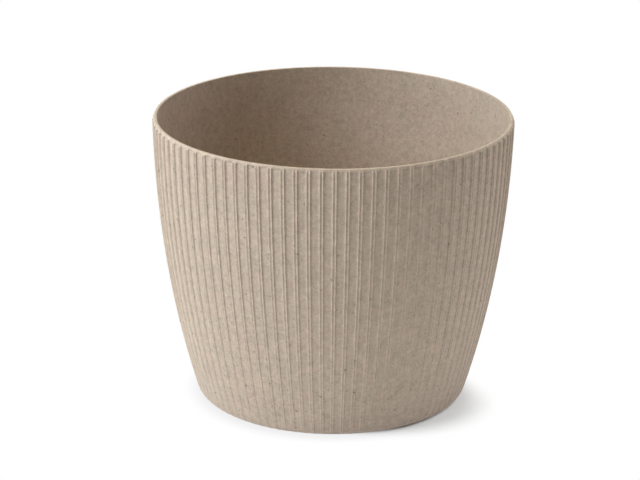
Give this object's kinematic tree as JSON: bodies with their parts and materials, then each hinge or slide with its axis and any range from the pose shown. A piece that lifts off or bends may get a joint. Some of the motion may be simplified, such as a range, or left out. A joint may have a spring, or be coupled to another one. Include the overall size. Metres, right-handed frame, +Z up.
{
  "type": "plant pot",
  "caption": "Round tapered plastic plant pot with fine paired upright ribs, thin lipped rim, foot ring and a lift-out drain plug in the floor.",
  "frame": {"origin": "middle of the flat face that the pot stands on", "axes": "+Z up along the pot's axis, -Y towards the picture's camera, +X to the picture's right"},
  "size_m": [0.155, 0.155, 0.125],
  "materials": {
    "speckled_composite": "matte beige plastic with fine fibre specks",
    "plug_plastic": "matte soft plastic, a shade darker than the pot"
  },
  "bodies": {
    "pot": {"pot": "speckled_composite"},
    "plug": {"drain_plug": "plug_plastic"}
  },
  "joints": [
    {"name": "plug_lift", "type": "slide", "parent": "pot", "child": "plug", "axis": [0, 0, 1], "range_m": [0, 0.14]}
  ]
}
